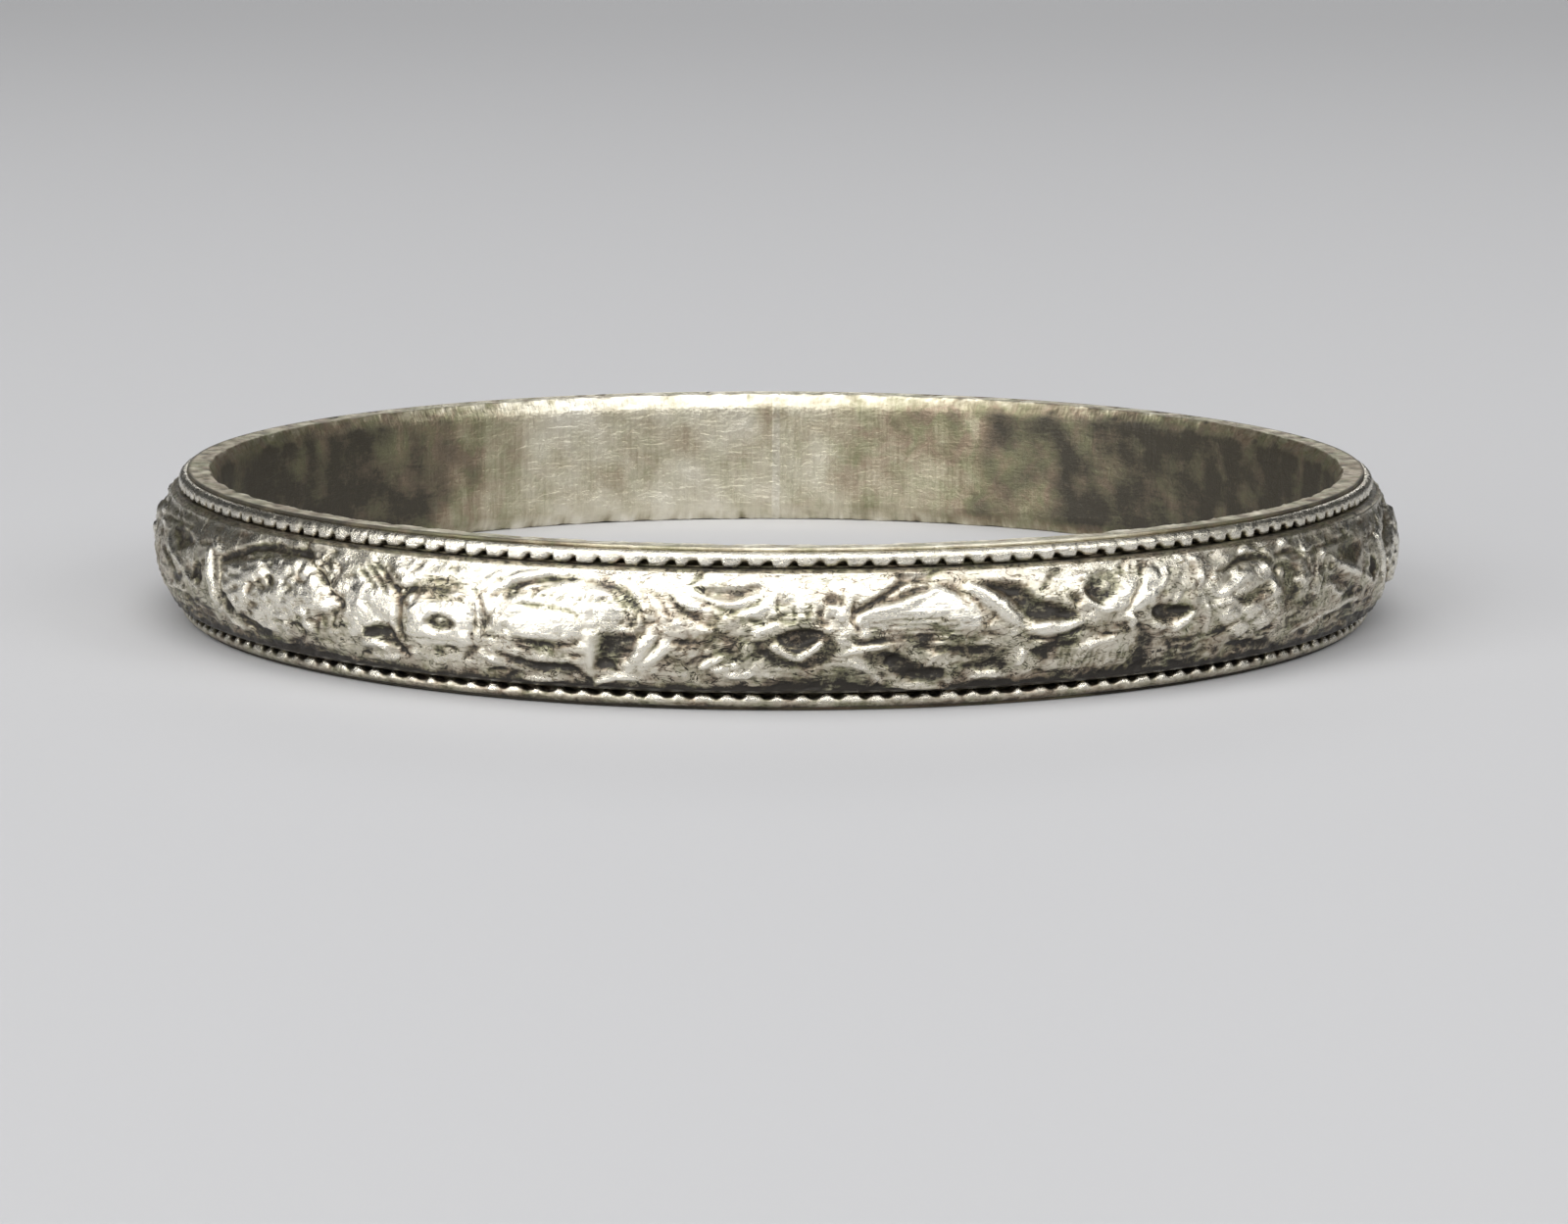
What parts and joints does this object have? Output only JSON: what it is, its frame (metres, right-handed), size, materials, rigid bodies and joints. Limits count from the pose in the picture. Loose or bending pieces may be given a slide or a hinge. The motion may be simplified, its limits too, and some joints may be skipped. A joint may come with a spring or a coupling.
{
  "type": "wedding band",
  "caption": "Narrow domed wedding band with a cut floral strip between two beaded milgrain edges.",
  "frame": {"origin": "middle of the ring, on the flat lower edge that it lies on", "axes": "+Z along the finger, from the lower edge of the band to the upper edge; -Y is the side that faces the viewer"},
  "size_m": [0.019, 0.019, 0.0022],
  "materials": {
    "shank_gold": "satin",
    "strip_gold": "satin",
    "wire_gold": "satin",
    "solder": "satin"
  },
  "bodies": {
    "root": {"shank": "shank_gold", "floral_strip": "strip_gold", "upper_milgrain_wire": "wire_gold", "lower_milgrain_wire": "wire_gold", "shank_solder_seam": "solder", "strip_solder_seam": "solder", "upper_wire_solder_seam": "solder", "lower_wire_solder_seam": "solder"}
  },
  "joints": []
}
